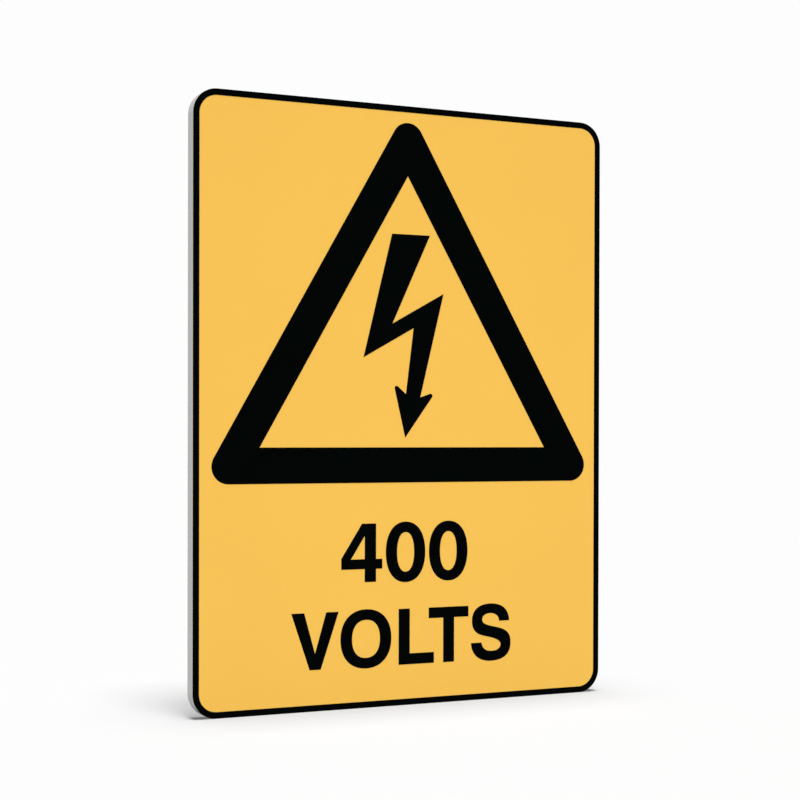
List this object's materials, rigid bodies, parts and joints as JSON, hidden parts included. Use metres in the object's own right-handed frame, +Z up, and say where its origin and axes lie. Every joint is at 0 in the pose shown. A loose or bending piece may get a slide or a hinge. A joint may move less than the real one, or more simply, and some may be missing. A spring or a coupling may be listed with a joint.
{
  "type": "high voltage warning sign",
  "caption": "Flat upright board with rounded corners, a yellow face and a black warning triangle holding a lightning bolt, fixed by its back to warn of live equipment.",
  "frame": {"origin": "centre of the board's back face, which lies against what the sign is fixed to", "axes": "+X to the right as the sign is read, +Z up, +Y into the wall; the printed face looks along -Y"},
  "size_m": [0.15, 0.0052, 0.2],
  "materials": {
    "board": "smooth matt foamed plastic board, off-white",
    "yellow_film": "satin vinyl film, signal yellow",
    "black_vinyl": "satin vinyl, black"
  },
  "bodies": {
    "root": {"sign_board": "board", "face_film": "yellow_film", "border_line": "black_vinyl", "warning_triangle": "black_vinyl", "lightning_bolt": "black_vinyl"}
  },
  "joints": []
}
